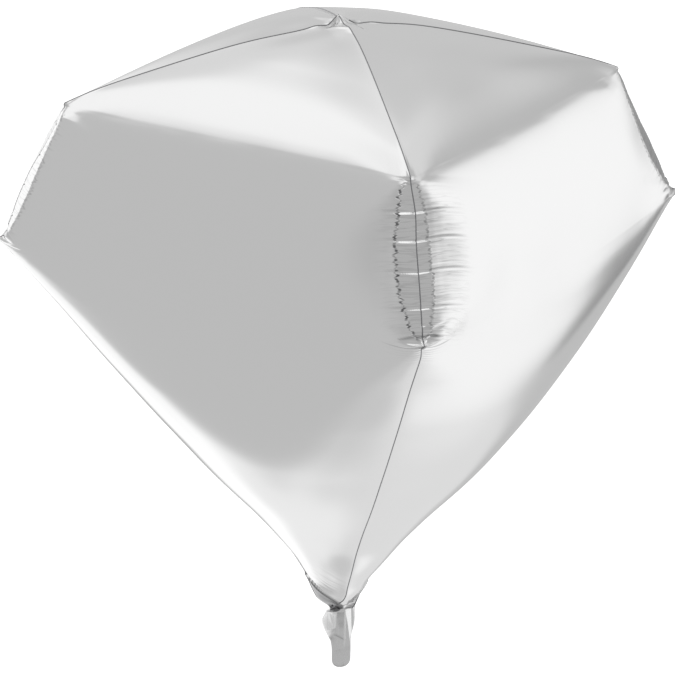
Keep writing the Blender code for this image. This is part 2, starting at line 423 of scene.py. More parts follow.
FINE_WALLS = (0.8 * MM, 1.4 * MM)
LAST_FOLD_PLACE = 0.915
LAST_FOLD_REACH = 19 * MM
LAST_FOLD_SHADES = (0.55, 0.15, 0.15, 0.15)
SMILE_RADIUS = 62 * MM
SMILE_REACH = 38 * MM
SMILE_WALLS = (0.9 * MM, 1.3 * MM)
SMILE_SHADE_SHARES = (1, 0.5, 0.5, 0.5)
SMILES = [
    # distance below the lower corner and depth in mm, and how dark the painted shade in its bottom is
    (-0.6, 0.40, 0.65), (3.0, 0.16, 0.12), (5.4, 0.15, 0.10), (8.0, 0.14, 0.10),
    (11.0, 0.12, 0.06), (14.2, 0.09, 0.04), (17.5, 0.06, 0),
]
CORNER_CREASES = [
    # distance below the upper corner in mm, darkness of the painted shade along it
    (0.9, 0.34), (3.2, 0.24), (5.6, 0.24),
]
CORNER_CREASE_REACHES = (6, 12)
CORNER_CREASE_DEPTH = 0.15 * MM
CORNER_CREASE_WALLS = (0.7 * MM, 0.9 * MM)

# What the mesh stores for the foil: painted shade for its creases and folds, its place along
# the girdle and its distance from the seam, where the arc lies, and how strong the hairs and pits are
CREASE_MAPS = ("painted_shade", "girdle place", "from seam", "arc", "hairs", "pits")


def groove(off, above, below):
    """A crease's depth at a distance down from its bottom, 1 there and 0 past its walls."""
    wall = np.where(off > 0, off / below, -off / above)
    wall = np.clip(1 - wall, 0, 1)
    return wall ** 1.5 * (2.5 - 1.5 * wall)


def by_side(on_left, values):
    """The first of two values on the right of a seam, and the second on its left."""
    return np.where(on_left, values[1], values[0])


rng = np.random.default_rng(22)
pucker = np.zeros(film.shape[:2])
creased = {name: np.zeros(film.shape[:2]) for name in CREASE_MAPS}
for seam in range(4):
    near = seam_of == seam
    a, d = along_seam[:, near], from_seam[:, near]
    on_left = np.broadcast_to(to_right[near], a.shape)
    share = np.clip(a / girdle_length, 0, 1)
    ends = ease(a, 1 * MM, 10 * MM) * ease(girdle_length - a, 1 * MM, 12 * MM)
    line = a - d ** 2 / (2 * CREASE_BEND)
    deep = girdle_length * np.array(DEEP_CREASES[seam])
    marks = np.concatenate([[0], deep, [girdle_length]])
    right_arc, left_arc = ARC_REACHES[seam]
    arc = MM * np.where(on_left, left_arc * np.interp(share, ARC_SHARES, ARC_LEFT),
                        right_arc * np.interp(share, ARC_SHARES, ARC_RIGHT))
    relief = np.zeros(a.shape)
    dark = np.zeros(a.shape)

    # fine creases
    for k in range(FINE_CREASES):
        place = girdle_length * (k + rng.uniform(0.15, 0.85)) / FINE_CREASES
        reach = MM * np.where(on_left, *(rng.uniform(0.4, 1.1, 2) * HAIR_REACHES[seam][::-1]))
        depth = FINE_DEPTH * np.where(on_left, *rng.uniform(0.35, 1.3, 2))
        run = np.clip(1 - (d / reach) ** 2, 0, 1)
        relief -= depth * run * groove(line - place, *FINE_WALLS)

    # the fold along the arc, and the pillows between the deep creases
    arc_rise = MM * by_side(on_left, ARC_RISES[seam])
    relief += arc_rise * ease(a, 2 * MM, 24 * MM) * np.exp(-np.abs(d - arc) / ARC_WIDTH)
    tilt = by_side(on_left, ARC_TILTS[seam])
    relief += tilt * np.where(d < arc, d, arc * np.exp(-np.maximum(d - arc, 0) / TILT_FADE))
    for low, high in zip(marks, marks[1:]):
        relief += PILLOW_RISE * np.sqrt(window(line, low, high)) * np.exp(-(d / PILLOW_REACH) ** 2)

    # deep creases, with a low ridge and a line of painted shade above and below each
    for place in deep:
        reach = MM * np.where(on_left, *(rng.uniform(0.85, 1.1, 2) * CREASE_REACHES[seam][::-1]))
        run = np.clip(1 - (d / reach) ** 2, 0, 1)
        off = line - place
        relief -= CREASE_DEPTH * run * groove(off, *CREASE_WALLS)
        for under, wide in CREASE_RIDGES:
            relief += RIDGE_RISE * run * np.exp(-((off - under * MM) / (wide * MM)) ** 2)
        outside = np.clip((d - 0.7 * arc) / (5 * MM), 0, 1) * run
        for under, shade in CREASE_SHADES:
            dark += shade * outside * np.exp(-((off - under * MM) / SHADE_WIDTH) ** 2)

    # a last fold just above the lower corner, painted shade only, narrower away from the seam
    taper = np.clip(1 - d / LAST_FOLD_REACH, 0, 1)
    off = (line - LAST_FOLD_PLACE * girdle_length) / (1.6 * MM * taper + 0.3 * MM)
    dark += LAST_FOLD_SHADES[seam] * (taper > 0) * np.exp(-off ** 2)
    # painted shade over the film inside the arc, in place of a darker reflection there
    dark += by_side(on_left, ARC_SHADES[seam]) * ease(arc - d, -0.8 * MM, 0.8 * MM)
    relief *= ends
    dark *= ends

    # in front, the girdle panel on the right is drawn out past its creases
    if seam == 0:
        pulled = np.where(on_left, 0, 1 - np.exp(-d / PULL_REACH)) * ease(d, PULL_END, PULL_FULL)
        relief += PULL * PULL_REACH * pulled * np.sin(math.pi * share) ** 1.2

    # smiles, which hang under the lower corner, with painted shade along their bottoms
    bend = a + d ** 2 / (2 * SMILE_RADIUS)
    for under, depth, shade in SMILES:
        reach = SMILE_REACH * np.where(on_left, *rng.uniform(0.75, 1.1, 2))
        run = np.clip(1 - (d / reach) ** 2, 0, 1)
        off = bend - girdle_length - under * MM
        relief -= depth * MM * run * groove(off, *SMILE_WALLS)
        dark += SMILE_SHADE_SHARES[seam] * shade * run * np.exp(-(off / (0.55 * MM)) ** 2)

    # short creases gathered just under the upper corner, each with a line of painted shade
    for under, shade in CORNER_CREASES:
        run = np.clip(1 - (d / (MM * by_side(on_left, CORNER_CREASE_REACHES))) ** 2, 0, 1)
        off = a - under * MM + 0.1 * d
        relief -= CORNER_CREASE_DEPTH * run * groove(off, *CORNER_CREASE_WALLS)
        dark += shade * run * np.exp(-(off / (0.6 * MM)) ** 2)
    pucker[:, near] = relief
    # the seam's painted shade, stored for the foil's colour
    creased["painted_shade"][:, near] = dark

    # where the foil's own hair creases and pits lie, in mm, and how strong they are
    reach = MM * by_side(on_left, HAIR_REACHES[seam])
    past_arc = (d - arc) / np.maximum(reach - arc, 1 * MM)
    beyond = by_side(on_left, HAIR_STRENGTHS[seam]) * np.clip(1 - past_arc, 0, 1) ** 0.8
    within = 0.55 + 0.25 * np.clip(d / np.maximum(arc, 0.1 * MM), 0, 1) ** 3
    creased["hairs"][:, near] = ends * ease(a, 6 * MM, 26 * MM) * np.where(d < arc, within, beyond)
    pitted = ease(a, 3 * MM, 9 * MM) * ease(girdle_length - a, 4 * MM, 12 * MM)
    creased["pits"][:, near] = pitted * by_side(on_left, PIT_STRENGTHS[seam])
    creased["girdle place"][:, near] = line / MM + 400 * seam + 200 * on_left
    creased["from seam"][:, near] = d / MM
    creased["arc"][:, near] = arc / MM
film = film + pucker[..., None] * facing(film)

# The crown is gathered to a small peak that stands to the left of the middle, with a
# ridge along each seam and fine pleats between them.
TOP_HALF_Z = 400 * MM
PEAK_SHIFT = np.array([-6.5, 1.0, 0]) * MM
PEAK_SHIFT_REACH = 24 * MM
PEAK_RISE = 5.0 * MM
PEAK_REACH = 8.5 * MM
PEAK_HOLLOWS = 0.55
CROWN_PLEATS = 26
PLEAT_DEPTH = 0.16 * MM
PLEAT_WIDTH = 0.7 * MM
CROWN_FOLDS = [
    # start x, y, end x, y, rise, half width, all in mm
    (-18, -7, -3, -21, 0.9, 1.3),
    (-7, 3, -22, 26, 0.9, 1.6),
    (9, 1, 20, 17, 0.7, 1.5),
    (3, -5, 9, -16, 0.5, 1.2),
]
CROWN_DIMPLES = [
    # x, y, depth and radius in mm, how dark the painted shade in it is
    (2.5, -3.0, 2.2, 3.0, 0.0),
    (5.5, -2.5, 0.6, 2.2, 0.55),
    (8.5, 2.0, 1.2, 3.0, 0.35),
    (-13.0, -2.5, 1.6, 5.0, 0.42),
    (-6.0, 7.0, 1.0, 3.0, 0.20),
]
CROWN_VALLEYS = [
    # the seam's direction in degrees, then the valley's distance from the pole, its reach,
    # depth and half width in mm
    (90, 20, 26, 3.0, 24),
    (-90, 28, 40, 3.4, 26),
    (180, 30, 60, 3.2, 6),
]


def ridge_along(x, y, start_x, start_y, end_x, end_y, rise, wide):
    """A low fold along a line on the plan, fading at both its ends. Sizes in mm."""
    start, way = np.array([start_x, start_y]), np.array([end_x - start_x, end_y - start_y])
    length = np.hypot(*way)
    along = ((x - start[0]) * way[0] + (y - start[1]) * way[1]) / length ** 2
    off = ((x - start[0]) * way[1] - (y - start[1]) * way[0]) / length
    return rise * window(along, -0.15, 1.15) ** 0.5 * np.exp(-np.abs(off / wide) ** 1.5)


top_half = film[..., 2] > TOP_HALF_Z
plan_r = np.hypot(film[..., 0], film[..., 1])
plan_turn = np.arctan2(film[..., 0], -film[..., 1])
ridged = np.abs(np.cos(2 * plan_turn)) ** 3
between = np.clip(plan_r / (6 * MM), 0, 1)
rise = PEAK_RISE * np.exp(-(plan_r / PEAK_REACH) ** 1.7)
rise = rise * (1 - PEAK_HOLLOWS * between * (1 - ridged))
for turn, away, reach, depth, wide in CROWN_VALLEYS:
    ahead = plan_r * np.cos(plan_turn - math.radians(turn)) / MM
    off = plan_r * np.sin(plan_turn - math.radians(turn)) / MM
    valley = np.exp(-((ahead - away) / reach) ** 2 - (off / wide) ** 2) * ease(ahead, 0, 16)
    rise -= depth * MM * valley
for turn in np.sort(rng.uniform(-math.pi, math.pi, CROWN_PLEATS)):
    off = np.abs((plan_turn - turn + math.pi) % (2 * math.pi) - math.pi) * plan_r
    near_peak = window(plan_r, 0.5 * MM, rng.uniform(9, 22) * MM)
    rise -= PLEAT_DEPTH * rng.uniform(0.4, 1.3) * near_peak * np.exp(-(off / PLEAT_WIDTH) ** 2)
film[..., 2] += rise * top_half
at_crown = np.exp(-(plan_r / PEAK_SHIFT_REACH) ** 1.2) * top_half
film = film + at_crown[..., None] * PEAK_SHIFT
x_mm, y_mm = film[..., 0] / MM, film[..., 1] / MM
for fold in CROWN_FOLDS:
    film[..., 2] += ridge_along(x_mm, y_mm, *fold) * MM * top_half
for x, y, depth, radius, shade in CROWN_DIMPLES:
    dimple = np.exp(-((x_mm - x) ** 2 + (y_mm - y) ** 2) / radius ** 2) * top_half
    film[..., 2] -= depth * MM * dimple
    # painted shade in the dimple
    creased["painted_shade"] += shade * dimple

# Down to the throat the film is drawn together flat and twisted to the left, and a fold
# of it laps over on each side of the front.
NECK_TOP_Z = 80 * MM
NECK = [
    # height in metres, shares of the blown half width on the left and right and of the depth,
    # twist in degrees
    (0.000, 1.26, 1.20, 0.62, -50),
    (0.005, 1.32, 0.98, 0.68, -25),
    (0.012, 1.25, 0.95, 0.78, -4),
    (0.018, 1.18, 0.95, 0.86, 0),
    (0.030, 1.05, 0.91, 0.94, 0),
    (0.045, 1.00, 0.97, 1.00, 0),
    (0.080, 1.00, 1.00, 1.00, 0),
]
LAPS = [
    # the fold's line as azimuths in degrees and heights in metres, its rise, how far it falls,
    # and how dark the painted shade on the film under it is
    ([-110, -80, -60, -40, -20, -2], [0.040, 0.032, 0.023, 0.015, 0.009, 0.005], 1.6 * MM, 9 * MM, 0.76),
    ([28, 45, 65, 100], [0.006, 0.013, 0.022, 0.034], 1.2 * MM, 8 * MM, 0.40),
]
DEEPEST_SHADE = 0.98
POCKET_TURN = -58
POCKET_HALF_TURN = 22
POCKET_Z = 1 * MM
POCKET_HALF_HEIGHT = 5 * MM
POCKET_DEPTH = 3.2 * MM
WRINKLE_STRENGTH = 0.45

low = film[..., 2] < NECK_TOP_Z
z_low = np.clip(film[..., 2], 0, NECK_TOP_Z)
neck_z, neck_left, neck_right, neck_depth, neck_twist = zip(*NECK)
twist = np.radians(smooth_curve(z_low, neck_z, neck_twist)) * low
x = film[..., 0] * np.cos(twist) - film[..., 1] * np.sin(twist)
y = film[..., 0] * np.sin(twist) + film[..., 1] * np.cos(twist)
leftward = ease(-x, -4 * MM, 4 * MM)
share = leftward * smooth_curve(z_low, neck_z, neck_left)
share = share + (1 - leftward) * smooth_curve(z_low, neck_z, neck_right)
film[..., 0] = np.where(low, x * share, x)
film[..., 1] = np.where(low, y * smooth_curve(z_low, neck_z, neck_depth), y)
neck_turn = np.degrees(np.arctan2(film[..., 0], -film[..., 1]))
way_out = film[..., :2] / np.maximum(np.hypot(film[..., 0], film[..., 1]), 1e-6)[..., None]
bulge = np.zeros(film.shape[:2])
z_mm = film[..., 2] / MM
for turns, heights, lap_rise, fall, shade in LAPS:
    over = film[..., 2] - np.interp(neck_turn, turns, heights)
    under_lap = ease(-over, -0.2 * MM, 0.5 * MM) * low
    under_lap *= ease(neck_turn, turns[0] - 8, turns[0] + 16) * ease(neck_turn, turns[-1] + 12, turns[-1])
    # painted shade under each lap, deepening to near black at the bottom under the darker one
    deeper = (DEEPEST_SHADE - shade) * ease(z_mm, 8, 1) * (shade > 0.5)
    creased["painted_shade"] += under_lap * (shade + deeper)
    creased["hairs"] = np.maximum(creased["hairs"], 0.8 * under_lap)
    lap = ease(-over, 0, 0.8 * MM) * np.exp(-np.maximum(-over, 0) / (2 * fall))
    bulge += lap_rise * lap * window(neck_turn, turns[0] - 25, turns[-1] + 25) ** 0.5
pocket_x = (neck_turn - POCKET_TURN) / POCKET_HALF_TURN
pocket_z = (film[..., 2] - POCKET_Z) / POCKET_HALF_HEIGHT
bulge -= POCKET_DEPTH * np.exp(-pocket_x ** 2 - pocket_z ** 2)
bulge *= low * np.clip(film[..., 2] / (4 * MM) + 0.15, 0, 1)
bulge *= np.clip((NECK_TOP_Z - film[..., 2]) / (30 * MM), 0, 1)
film[..., :2] += bulge[..., None] * way_out
wrinkled = window(z_mm, 6, 62) * window(neck_turn, -110, 20)
creased["hairs"] = np.maximum(creased["hairs"], WRINKLE_STRENGTH * wrinkled)
creased["girdle place"] = np.where(low, 0.8 * z_mm + 0.6 * film[..., 0] / MM, creased["girdle place"])
creased["from seam"] = np.where(low, 0.8 * film[..., 0] / MM - 0.6 * z_mm, creased["from seam"])

# One piece for each gore, with its own flat cut as its UV map, in metres.
FOIL = (0.90, 0.90, 0.90, 1)
# the dark tint that painted shade draws the foil's colour towards
PAINTED_SHADE_TINT = (0.16, 0.16, 0.165, 1)
FOIL_ROUGHNESS = (0.11, 0.19)
FOIL_HAZE = (9.0, 3.0)  # scale per metre, detail
FOIL_GRAIN = (900.0, 2.0)
GRAIN_STRENGTH = 0.25
GRAIN_HEIGHT = 0.04 * MM
cut_rows = slice(CROWN_ROWS, None)


def feed(tree, sockets, values):
    """Gives each socket a number or another node's output."""
    for socket, value in zip(sockets, values):
        if isinstance(value, (int, float)):
            socket.default_value = value
        else:
            tree.links.new(value, socket)


def math_node(tree, operation, *values):
    """A math node in a tree, with numbers or other nodes' outputs as its inputs."""
    node = tree.nodes.new("ShaderNodeMath")
    node.operation = operation
    feed(tree, node.inputs, values)
    return node.outputs[0]


def ease_node(tree, value, start, end):
    """Rises smoothly from 0 to 1 as the value goes from the start to the end."""
    node = tree.nodes.new("ShaderNodeMapRange")
    node.interpolation_type = "SMOOTHSTEP"
    node.inputs["From Min"].default_value = start
    node.inputs["From Max"].default_value = end
    tree.links.new(value, node.inputs["Value"])
    return node.outputs["Result"]


def cloud_node(tree, point, scale, detail):
    """Noise at a point that another node gives."""
    node = tree.nodes.new("ShaderNodeTexNoise")
    feed(tree, (node.inputs["Scale"], node.inputs["Detail"]), (scale, detail))
    tree.links.new(point, node.inputs["Vector"])
    return node.outputs["Fac"]


def noise_node(tree, x, y, z, detail):
    """Noise at a point whose coordinates are numbers or other nodes' outputs."""
    point = tree.nodes.new("ShaderNodeCombineXYZ")
    feed(tree, point.inputs, (x, y, z))
    return cloud_node(tree, point.outputs["Vector"], 1.0, detail)


def spread_node(tree, value, low, high):
    """Takes a value that runs from 0 to 1 to the range between two numbers."""
    node = tree.nodes.new("ShaderNodeMapRange")
    node.inputs["To Min"].default_value = low
    node.inputs["To Max"].default_value = high
    tree.links.new(value, node.inputs["Value"])
    return node.outputs["Result"]


def tint_node(tree, amount, plain, tinted):
    """Goes from the plain colour to the tinted one as the amount goes from 0 to 1."""
    node = tree.nodes.new("ShaderNodeMix")
    node.data_type = "RGBA"
    node.inputs["A"].default_value = plain
    node.inputs["B"].default_value = tinted
    tree.links.new(amount, node.inputs["Factor"])
    return node.outputs["Result"]


def bump_node(tree, height, strength, distance, over=None):
    """A bump from another node's height, laid over an earlier bump where one is given."""
    node = tree.nodes.new("ShaderNodeBump")
    node.inputs["Strength"].default_value = strength
    node.inputs["Distance"].default_value = distance
    tree.links.new(height, node.inputs["Height"])
    if over is not None:
        tree.links.new(over, node.inputs["Normal"])
    return node.outputs["Normal"]


# Hair creases too fine for the mesh run away from the seam, and pits line the ragged arc where
# the drawn film folds; both get painted shade. Scales are per mm on the film.
RIPPLE_SCALES = (0.30, 0.02)
RIPPLE_HEIGHT = 0.55
HAIRLINE_WIDTH = 0.05
HAIRLINE_SHADE = 0.3
TOOTH_SCALE = 0.55
TOOTH_LENGTH = 7.0
PIT_SCALE = 0.33
PIT_SHADES = (0.9, 0.4)
PIT_DEPTH = 0.25
hair = bpy.data.node_groups.new("hair creases", "ShaderNodeTree")
hair.interface.new_socket(name="Dark", in_out="OUTPUT", socket_type="NodeSocketFloat")
hair.interface.new_socket(name="Height", in_out="OUTPUT", socket_type="NodeSocketFloat")
hair_out = hair.nodes.new("NodeGroupOutput")
at = {}
for name in creased:
    node = hair.nodes.new("ShaderNodeAttribute")
    node.attribute_name = name
    at[name] = node.outputs["Fac"]

# ripples that run away from the seam, with a thin line of painted shade along the edge of each
place = at["girdle place"]
ripple = noise_node(hair, math_node(hair, "MULTIPLY", place, RIPPLE_SCALES[0]),
                    math_node(hair, "MULTIPLY", at["from seam"], RIPPLE_SCALES[1]), 0.0, 2.0)
off_edge = math_node(hair, "ABSOLUTE", math_node(hair, "SUBTRACT", ripple, 0.5))
hairline = ease_node(hair, off_edge, HAIRLINE_WIDTH, 0.0)
lines = math_node(hair, "MULTIPLY", math_node(hair, "MULTIPLY", hairline, at["hairs"]), HAIRLINE_SHADE)
swell = math_node(hair, "MULTIPLY", math_node(hair, "MULTIPLY", ripple, at["hairs"]), RIPPLE_HEIGHT)

# teeth that make the arc ragged, and broken pits along it with painted shade
teeth = noise_node(hair, math_node(hair, "MULTIPLY", place, TOOTH_SCALE), 7.3, 0.0, 1.0)
teeth = math_node(hair, "MULTIPLY", math_node(hair, "SUBTRACT", teeth, 0.45), TOOTH_LENGTH)
off_arc = math_node(hair, "SUBTRACT", math_node(hair, "SUBTRACT", at["from seam"], at["arc"]), teeth)
off_arc = math_node(hair, "ABSOLUTE", off_arc)
broken = noise_node(hair, math_node(hair, "MULTIPLY", place, PIT_SCALE), 31.0, 0.0, 1.0)
broken = ease_node(hair, broken, 0.42, 0.56)
pits = math_node(hair, "MULTIPLY", ease_node(hair, off_arc, 1.5, 0.5), broken)
pits = math_node(hair, "MAXIMUM", math_node(hair, "MULTIPLY", pits, PIT_SHADES[0]),
                 math_node(hair, "MULTIPLY", ease_node(hair, off_arc, 1.0, 0.2), PIT_SHADES[1]))
pits = math_node(hair, "MULTIPLY", pits, at["pits"])
# the group's Dark is all painted shade: the stored shade, the pits and the hairlines
dark = math_node(hair, "ADD", at["painted_shade"], math_node(hair, "MAXIMUM", pits, lines))
hair.links.new(dark, hair_out.inputs["Dark"])
fold_height = math_node(hair, "SUBTRACT", swell, math_node(hair, "MULTIPLY", pits, PIT_DEPTH))
hair.links.new(fold_height, hair_out.inputs["Height"])

foil = bpy.data.materials.new("silver foil")
foil.use_nodes = True
tree = foil.node_tree
shader = tree.nodes["Principled BSDF"]
shader.inputs["Metallic"].default_value = 1.0
creases = tree.nodes.new("ShaderNodeGroup")
creases.node_tree = hair
# painted shade from the creases, folds and pits darkens the foil's colour
tree.links.new(tint_node(tree, creases.outputs["Dark"], FOIL, PAINTED_SHADE_TINT), shader.inputs["Base Color"])
spot = tree.nodes.new("ShaderNodeTexCoord").outputs["Object"]
haze = spread_node(tree, cloud_node(tree, spot, *FOIL_HAZE), *FOIL_ROUGHNESS)
tree.links.new(haze, shader.inputs["Roughness"])
grain = cloud_node(tree, spot, *FOIL_GRAIN)
skin = bump_node(tree, grain, GRAIN_STRENGTH, GRAIN_HEIGHT)
folds = bump_node(tree, creases.outputs["Height"], 1.0, MM, over=skin)
tree.links.new(folds, shader.inputs["Normal"])


def strip_faces(rows, wide):
    """Faces between open rows of points, from the first row down to the last."""
    return [(r * wide + k, (r + 1) * wide + k, (r + 1) * wide + k + 1, r * wide + k + 1)
            for r in range(rows - 1) for k in range(wide - 1)]


def film_piece(name, points, faces, finish, maps):
    """A smooth piece of film, with what its material reads stored at its points."""
    mesh = bpy.data.meshes.new(name)
    mesh.from_pydata(points.reshape(-1, 3).tolist(), [], faces)
    for label, values in maps.items():
        stored = mesh.attributes.new(label, "FLOAT", "POINT")
        stored.data.foreach_set("value", values.astype(np.float32).ravel())
    mesh.shade_smooth()
    mesh.materials.append(finish)
    piece = bpy.data.objects.new(name, mesh)
    bpy.context.collection.objects.link(piece)
    return piece


for gore, name in enumerate(GORES):
    wanted = [(gore * FILM_COLUMNS + k) % film_ring for k in range(FILM_COLUMNS + 1)]
    part = film[CROWN_ROWS:, wanted]
    # each piece keeps its painted shade and the other maps the foil reads
    maps = {label: values[CROWN_ROWS:, wanted] for label, values in creased.items()}
    piece = film_piece(f"gore_{name}_film", part, strip_faces(*part.shape[:2]), foil, maps)
    cut_x = film_half[CROWN_ROWS:, None] * columns(FILM_COLUMNS, FILM_CROWDING)
    cut_y = np.repeat(-film_down[CROWN_ROWS:, None], FILM_COLUMNS + 1, axis=1)
    flat = np.stack([cut_x, cut_y], axis=-1).reshape(-1, 2)
    cut = piece.data.uv_layers.new(name="flat cut")
    corners = np.empty(len(piece.data.loops), np.int32)
    piece.data.loops.foreach_get("vertex_index", corners)
    cut.uv.foreach_set("vector", flat[corners].astype(np.float32).ravel())
    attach(piece, "root")
    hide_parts(f"gore_{name}")

# Welded seams
# Where two gores meet, a narrow weld of the two films stands along the seam as a dull
# grey line. Each is a thin bead that follows the seam, puckers and all.
WELD = (0.30, 0.30, 0.31, 1)
WELD_THICKNESS = 0.9 * MM
WELD_SIDES = 8
WELD_ROUGHNESS = (0.33, 0.48)
DENT_SCALE = 1400.0
DENT_STRENGTH = 0.4
DENT_HEIGHT = 0.05 * MM
WELD_STARTS = [
    # the film's row near the pole from which each bead follows its seam
    ("front", 4), ("right", 24), ("back", 4), ("left", 4),
]

weld = bpy.data.materials.new("weld")
weld.use_nodes = True
tree = weld.node_tree
shader = tree.nodes["Principled BSDF"]
shader.inputs["Base Color"].default_value = WELD
shader.inputs["Metallic"].default_value = 1.0
press = tree.nodes.new("ShaderNodeTexVoronoi")
press.inputs["Scale"].default_value = DENT_SCALE
tree.links.new(tree.nodes.new("ShaderNodeTexCoord").outputs["Object"], press.inputs["Vector"])
tree.links.new(spread_node(tree, press.outputs["Distance"], *WELD_ROUGHNESS), shader.inputs["Roughness"])
dents = bump_node(tree, press.outputs["Distance"], DENT_STRENGTH, DENT_HEIGHT)
tree.links.new(dents, shader.inputs["Normal"])
for seam, (name, start) in enumerate(WELD_STARTS):
    path = film[start::2, seam * FILM_COLUMNS]
    bpy.ops.object.select_all(action="DESELECT")
    bpy.ops.curve.primitive_nurbs_path_add()
    line = bpy.context.object
    line.data.splines.clear()
    spline = line.data.splines.new("POLY")
    spline.points.add(len(path) - 1)
    spline.points.foreach_set("co", np.hstack([path, np.ones((len(path), 1))]).ravel())
    line.data.bevel_depth = WELD_THICKNESS / 2
    line.data.bevel_resolution = WELD_SIDES // 2 - 2
    line.data.use_fill_caps = True
    bpy.ops.object.convert(target="MESH")
    bead = bpy.context.object
    bead.name = f"seam_{name}_weld"
    bead.data.materials.clear()
    bead.data.materials.append(weld)
    bpy.ops.object.shade_smooth()
    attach(bead, "root")
    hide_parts(f"seam_{name}")

# Crown
# The four gore tips are gathered and welded at the pole, in a small crumpled peak. It is
# the first rows of the same blown film, closed over the pole.
crown = film[:CROWN_ROWS + 1]
tip = crown[0].mean(axis=0)
crown_points = np.vstack([crown[1:].reshape(-1, 3), tip])
tip_at = len(crown_points) - 1
crown_faces = ring_faces(CROWN_ROWS, film_ring)
crown_faces += [(tip_at, j, (j + 1) % film_ring) for j in range(film_ring)]
# the crown keeps the painted shade of its dimples for its colour
shades = np.append(creased["painted_shade"][1:CROWN_ROWS + 1].ravel(), creased["painted_shade"][0].mean())
piece = film_piece("crown_film", crown_points, crown_faces, foil, {"painted_shade": shades})
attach(piece, "root")
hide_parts("crown_pucker")

# Filling tail
# Below the throat two films are welded into a flat tail with a rounded end. It is bowed
# and crumpled where it leaves the throat: a lobe on the left, a groove, a ridge on the right.
TAIL_ROWS = 170
TAIL_END = -59.5 * MM
TAIL_OUTLINE = [
    # height, left edge, right edge, half the depth, all in mm
    (0.0, -13.6, 13.2, 6.6),
    (-3.0, -10.0, 13.3, 5.6),
    (-6.0, -10.4, 13.5, 5.0),
    (-12.5, -12.3, 13.5, 4.0),
    (-20.0, -14.0, 12.7, 2.8),
    (-26.0, -12.6, 11.2, 2.2),
    (-32.0, -9.3, 9.5, 1.7),
    (-37.0, -8.3, 9.2, 1.3),
    (-50.0, -7.8, 8.9, 0.95),
    (-59.5, -7.8, 8.9, 0.8),
]
TAIL_ROUND = 9.0
THROAT_BLEND = 3.5
TAIL_FOIL = (0.89, 0.89, 0.89, 1)
TAIL_ROUGHNESS = (0.20, 0.34)
STREAK_SCALES = (520, 70)
STREAK_STRENGTH = 0.6
STREAK_HEIGHT = 0.3 * MM
TAIL_TWIST = [
    # height in mm, twist in degrees
    (-60.0, -90), (-14.0, -90), (-9.0, -84), (-4.0, -68), (0.0, -50),
]
TAIL_BENDS = [
    # a strip of the tail leans back: its edges' x at the throat and at the strip's end, that
    # end's height, and how far it leans back per mm. All in mm.
    (3.0, 9.0, 9.0, 10.7, -39, 0.80),
    (2.0, 4.4, 2.4, 4.2, -40, 0.35),
]
# The lobe lies left of an x, down to a line through two points given as height and x, and
# leans back by a share, with a line of painted shade along its end. All in mm.
LOBE_EDGE = -4.5
LOBE_END = [(-18.6, -4.2), (-25.0, -9.5)]
LOBE_LEAN = 1.45
LOBE_END_SHADE = 0.35
TAIL_FOLDS = [
    # start x, z, end x, z, rise, half width, all in mm
    (-5.5, -27, 3.0, -33, -0.35, 0.9),
    (-6.0, -45, 1.0, -42, -0.22, 0.9),
    (1.5, -44, 3.0, -57, 0.30, 2.0),
    (-3.0, -6, -2.0, -24, -0.35, 1.2),
    (-9.0, -9, -7.5, -17, 0.30, 0.9),
    (-3.5, -30, -4.0, -40, 0.22, 0.8),
]
# The fold that closes the groove under the throat, from one height and x to another, in mm;
# left of it the front film has painted shade
THROAT_FOLD = [(-1.1, -4.2), (-8.9, -11.3)]
THROAT_FOLD_SHADE = 0.9

tail_z = np.linspace(0, TAIL_END / MM, TAIL_ROWS + 1)
heights, lefts, rights, depths = (np.array(v)[::-1] for v in zip(*TAIL_OUTLINE))
left_edge = smooth_curve(tail_z, heights, lefts)
right_edge = smooth_curve(tail_z, heights, rights)
half_depth = smooth_curve(tail_z, heights, depths)
round_z = np.clip((TAIL_END / MM + TAIL_ROUND - tail_z) / TAIL_ROUND, 0, 1)
rounding = (1 - round_z ** 2.4) ** (1 / 2.2)
middle = (left_edge + right_edge) / 2
half_width = (right_edge - left_edge) / 2 * rounding
throat = film[-1] / MM
throat_turn = np.unwrap(np.arctan2(throat[:, 0], -throat[:, 1]))
twist_z, twist_turn = zip(*TAIL_TWIST)
twist_past_throat = np.radians(np.interp(tail_z, twist_z, twist_turn) - neck_twist[0])
turn = throat_turn[None] + twist_past_throat[:, None]
tail = np.empty((TAIL_ROWS + 1, film_ring, 3))
tail[..., 0] = middle[:, None] + half_width[:, None] * np.sin(turn)
flatness = np.abs(np.cos(turn)) ** 0.8 * np.sign(np.cos(turn))
tail[..., 1] = -half_depth[:, None] * flatness * (0.25 + 0.75 * rounding[:, None])
tail[..., 2] = tail_z[:, None]
to_front = np.clip(np.cos(turn) * 3, 0, 1)
relief = sum(ridge_along(tail[..., 0], tail[..., 2], *fold) for fold in TAIL_FOLDS)
room = np.clip((half_width[:, None] - np.abs(tail[..., 0] - middle[:, None])) / 2.5, 0, 1)
tail[..., 1] -= relief * to_front * room
to_back = np.clip(-np.cos(turn) * 3, 0, 1)
tail[..., 1] += 0.6 * relief[:, ::-1] * to_back * room
x, z = tail[..., 0], tail[..., 2]
for low_start, high_start, low_end, high_end, end, lean in TAIL_BENDS:
    share = np.clip(z / end, 0, 1.1)
    low_x = low_start + (low_end - low_start) * share
    high_x = high_start + (high_end - high_start) * share
    tail[..., 1] += lean * np.clip(x - low_x, 0, high_x - low_x) * ease(z, end - 3, end + 1)
(z_a, x_a), (z_b, x_b) = LOBE_END
above_end = z - (z_a + (x - x_a) * (z_b - z_a) / (x_b - x_a))
tail[..., 1] += LOBE_LEAN * np.maximum(LOBE_EDGE - x, 0) * ease(above_end, -3.5, 1) * ease(-z, 0, 8)
(z_a, x_a), (z_b, x_b) = THROAT_FOLD
